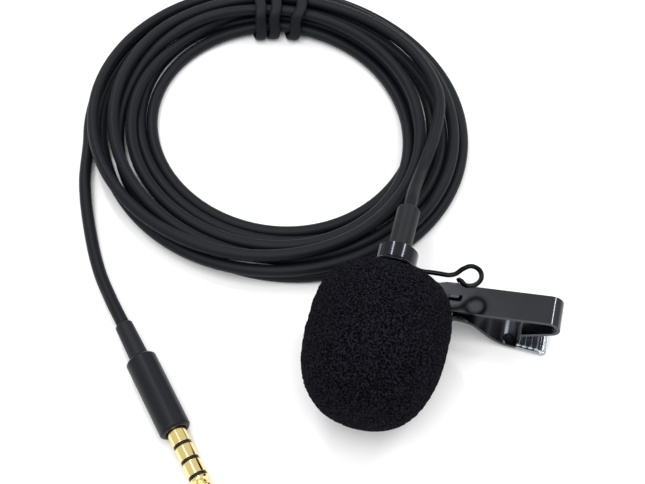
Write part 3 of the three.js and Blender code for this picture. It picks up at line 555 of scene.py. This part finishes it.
def foam_ball_grid():
    """The skin and its blind bore, as rows from the nose to the bore's end. The first row is drawn in to a
    small cap, and every other point of the last row is drawn in to the axis."""
    a = turn_angles(FOAM_COLUMNS)
    bore_radius, bore_end = FOAM_BORE
    ring = np.stack([np.cos(a), 0 * a, np.sin(a)], axis=1) * bore_radius
    bore = np.stack([ring + (0, y, 0) for y in (FOAM_REAR[0] - BORE_MOUTH, bore_end, bore_end)])
    bore[-1, :, ::2] *= CAP_SHARE
    ball = np.concatenate([foam_skin(), bore])
    nose = ball[0].mean(axis=0)
    ball[0] = nose + (ball[0] - nose) * CAP_SHARE
    return ball


def open_cell_foam():
    """Black polyurethane foam: no gloss, and fine dark pores between paler cut cell walls."""
    material, tree = new_material("open_cell_polyurethane_foam")
    where = add_node(tree, "ShaderNodeTexCoord")
    pores = add_node(tree, "ShaderNodeTexNoise", {"Vector": where.outputs["Object"]}, Scale=2900.0,
                     Detail=3.0, Roughness=0.6)
    walls = add_node(tree, "ShaderNodeMapRange", {"Value": pores.outputs[0]}, From_Min=0.43, From_Max=0.66)
    shade = blend(tree, walls.outputs[0], "#010102", "#22222a")
    bump = add_node(tree, "ShaderNodeBump", {"Height": pores.outputs[0]}, Strength=0.8, Distance=0.0003)
    surface = add_node(tree, "ShaderNodeBsdfPrincipled", {"Base Color": shade, "Normal": bump.outputs[0]},
                       Roughness=0.95, Specular_IOR_Level=0.03)
    add_node(tree, "ShaderNodeOutputMaterial", {"Surface": surface.outputs[0]})
    return material


foam = open_cell_foam()
ball = foam_ball_grid()
windscreen = grid_object("foam_ball", place(ball).reshape(ball.shape), foam)
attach(windscreen, "windscreen")
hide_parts("foam_windscreen")

# ---- Clip ---------------------------------------------------------------------------------------------
# Stamped and bent steel strip, barrel-plated in black nickel, so it is a dark mirror with softly broken
# edges. The ribbed end of the lower jaw has a painted highlight: a paler colour there stands in for the light
# its ribs reflect. The hook and the spring are black lacquered steel.
WELD = 1e-7                           # points closer than this are one, in metres
FLAT_ANGLE = math.radians(1.0)        # triangles that meet at less than this are one flat face
BROKEN_ANGLE = math.radians(25.0)     # sharper edges are broken
BROKEN_SEGMENTS = 3
PAINTED_HIGHLIGHT_LENGTH = 6.0                   # of the lower jaw's ribbed end, which gets a painted highlight
PAINTED_HIGHLIGHT_EDGE = 0.4                     # over which the painted highlight fades in


def joined_mesh(name, node, material):
    """A CAD node's own shape as a new mesh: its triangles are joined into flat faces and shaded smooth."""
    work = bmesh.new()
    work.from_mesh(frame["nodes"][node].data)
    bmesh.ops.remove_doubles(work, verts=work.verts, dist=WELD)
    bmesh.ops.dissolve_limit(work, angle_limit=FLAT_ANGLE, verts=work.verts, edges=work.edges)
    mesh = bpy.data.meshes.new(name)
    work.to_mesh(mesh)
    work.free()
    mesh.materials.append(material)
    mesh.polygons.foreach_set("use_smooth", np.ones(len(mesh.polygons), dtype=bool))
    return mesh


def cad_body(node):
    """The body that carries a CAD node, from the record."""
    bodies = frame["record"]["behaviour"]["bodies"]
    return next(body for body, nodes in bodies.items() if node in nodes)


def finished_copy(name, node, edge, material):
    """A CAD node's own shape with its edges broken: each edge sharper than BROKEN_ANGLE gets a round of the
    given size, and the flat faces keep their own shading."""
    thing = new_object(name, joined_mesh(name, node, material))
    bevel = thing.modifiers.new("broken_edges", "BEVEL")
    bevel.width = edge * MM
    bevel.segments = BROKEN_SEGMENTS
    bevel.limit_method = "ANGLE"
    bevel.angle_limit = BROKEN_ANGLE
    even = thing.modifiers.new("flat_faces_stay_flat", "WEIGHTED_NORMAL")
    even.weight = 100
    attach(thing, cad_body(node))
    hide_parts(node)
    return thing


def metal(name, colour, roughness, wear, grain_mm, painted_highlight=None):
    """A plated metal: its colour drifts from the given one to its wear, its roughness drifts with it from 0.8
    to 1.25 times the given one, and a fine grain of the given size breaks its gloss. A painted highlight, if
    given, is a distance along the clip and a paler colour painted on the plate past it, in place of reflected
    light."""
    material, tree = new_material(name)
    where = add_node(tree, "ShaderNodeTexCoord")
    cloud = add_node(tree, "ShaderNodeTexNoise", {"Vector": where.outputs["Object"]}, Scale=150.0, Detail=3.0)
    grain = add_node(tree, "ShaderNodeTexNoise", {"Vector": where.outputs["Object"]}, Scale=1000.0 / grain_mm,
                     Detail=2.0)
    shade = blend(tree, cloud.outputs["Fac"], colour, wear)
    # Painted highlight: past the given distance the plate's colour is mixed to a paler one that stands in for
    # the light reflected by the ribs.
    if painted_highlight:
        start, highlight_colour = painted_highlight
        along = add_node(tree, "ShaderNodeSeparateXYZ", {"Vector": where.outputs["Object"]})
        highlight_amount = add_node(tree, "ShaderNodeMapRange", {"Value": along.outputs["X"]}, From_Min=start,
                          From_Max=start + PAINTED_HIGHLIGHT_EDGE * MM)
        shade = blend(tree, highlight_amount.outputs[0], shade, highlight_colour)
    rough = add_node(tree, "ShaderNodeMapRange", {"Value": cloud.outputs["Fac"]}, To_Min=roughness * 0.8,
                     To_Max=roughness * 1.25)
    bump = add_node(tree, "ShaderNodeBump", {"Height": grain.outputs["Fac"]}, Strength=0.05, Distance=0.00002)
    surface = add_node(tree, "ShaderNodeBsdfPrincipled",
                       {"Base Color": shade, "Roughness": rough.outputs[0], "Normal": bump.outputs[0]},
                       Metallic=1.0)
    add_node(tree, "ShaderNodeOutputMaterial", {"Surface": surface.outputs[0]})
    return material


# The lower jaw's last few millimetres, its ribs, get a paler painted highlight in place of the light they
# reflect.
painted_highlight_from = max(corner[0] for corner in frame["nodes"]["lower_jaw"].bound_box) - PAINTED_HIGHLIGHT_LENGTH * MM
black_nickel = metal("black_nickel_plate", "#3c3d41", 0.12, "#46474b", 0.15)
collar_nickel = metal("rolled_collar_black_nickel_plate", "#2b2c30", 0.12, "#34353a", 0.15)
jaw_nickel = metal("black_nickel_plate_painted_rib_highlight", "#2e3034", 0.18, "#383a3f", 0.15,
                   painted_highlight=(painted_highlight_from, "#a4a8ae"))
lacquered_wire = metal("black_lacquered_spring_wire", "#17181a", 0.22, "#1e1f22", 0.1)
for node, edge, plate in (("upper_jaw", 0.12, black_nickel), ("collar", 0.06, collar_nickel),
                          ("collar_rivet", 0.08, collar_nickel), ("pivot_pin", 0.08, black_nickel),
                          ("lower_jaw", 0.1, jaw_nickel)):
    finished_copy(node + "_finished", node, edge, plate)
bow_spring = finished_copy("bow_spring_finished", "bow_spring", 0.05, lacquered_wire)
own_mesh(bow_spring)
wire = new_object("hook_wire", joined_mesh("hook_wire", "cable_hook", lacquered_wire))
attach(wire, "clip")
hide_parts("cable_hook")

# ---- Capsule housing and strain relief ----------------------------------------------------------------
# A drawn aluminium can, black anodised outside, and a soft boot moulded on the cord. The grille closes the
# can's mouth, and the cloth, capsule, board, gasket and wires lie behind it.


def moulded(name, low, high, roughness, grain_mm, depth, gloss=0.5):
    """A moulded plastic or rubber: two close shades, a fine spark-eroded grain, and a soft gloss."""
    material, tree = new_material(name)
    where = add_node(tree, "ShaderNodeTexCoord")
    cloud = add_node(tree, "ShaderNodeTexNoise", {"Vector": where.outputs["Object"]}, Scale=300.0, Detail=4.0)
    shade = blend(tree, cloud.outputs["Fac"], low, high)
    grain = add_node(tree, "ShaderNodeTexNoise", {"Vector": where.outputs["Object"]}, Scale=1000.0 / grain_mm)
    bump = add_node(tree, "ShaderNodeBump", {"Height": grain.outputs["Fac"]}, Strength=0.3,
                    Distance=depth * MM)
    surface = add_node(tree, "ShaderNodeBsdfPrincipled", {"Base Color": shade, "Normal": bump.outputs[0]},
                       Roughness=roughness, Specular_IOR_Level=gloss)
    add_node(tree, "ShaderNodeOutputMaterial", {"Surface": surface.outputs[0]})
    return material


boot_rubber = moulded("moulded_pvc_boot", "#111316", "#181a1e", 0.5, 0.12, 0.01, gloss=0.2)
anodised = metal("black_anodised_aluminium", "#26272a", 0.38, "#2c2d30", 0.08)
bright_steel = metal("drawn_spring_steel", "#8a8c90", 0.25, "#9a9ca0", 0.08)
bare_aluminium = metal("drawn_aluminium", "#b4b6b9", 0.3, "#c4c6c8", 0.08)
board_green = moulded("glass_fibre_board", "#1e5a34", "#256a3e", 0.4, 0.3, 0.02)
red_sleeve = moulded("red_wire_insulation", "#8c2018", "#a02a20", 0.4, 0.2, 0.01)
black_sleeve = moulded("black_wire_insulation", "#141416", "#1c1c1f", 0.4, 0.2, 0.01)
finished_copy("mic_boot", "mic_strain_relief", 0.15, boot_rubber)
finished_copy("housing_can", "capsule_housing", 0.08, anodised)
for node, material in (("front_grille", bright_steel), ("dust_cloth", foam),
                       ("electret_capsule", bare_aluminium), ("capsule_board", board_green),
                       ("capsule_gasket", boot_rubber),
                       ("signal_conductor", red_sleeve), ("ground_conductor", black_sleeve)):
    for slot in frame["nodes"][node].material_slots:
        slot.material = material

# ---- Plug ---------------------------------------------------------------------------------------------
# A four-contact 3.5 mm plug: gold-plated brass contacts turned on a lathe, black insulating rings between
# them, and a moulded barrel with a small strain relief.
gold_plate = metal("polished_gold_plate", "#eed68e", 0.1, "#f4e0a2", 0.06)
barrel_plastic = moulded("moulded_plug_barrel", "#101216", "#16181c", 0.36, 0.1, 0.006, gloss=0.18)
insulator_plastic = moulded("insulating_ring_plastic", "#17120c", "#1e180f", 0.3, 0.2, 0.01, gloss=0.2)
plug_boot = finished_copy("plug_boot", "plug_strain_relief", 0.12, boot_rubber)
plug_body = finished_copy("plug_body", "plug_barrel", 0.12, barrel_plastic)
for node in ("plug_sleeve", "plug_ring_2", "plug_ring_1", "plug_tip"):
    finished_copy(node + "_gold", node, 0.05, gold_plate)
finished_copy("plug_insulators", "plug_insulation", 0.02, insulator_plastic)
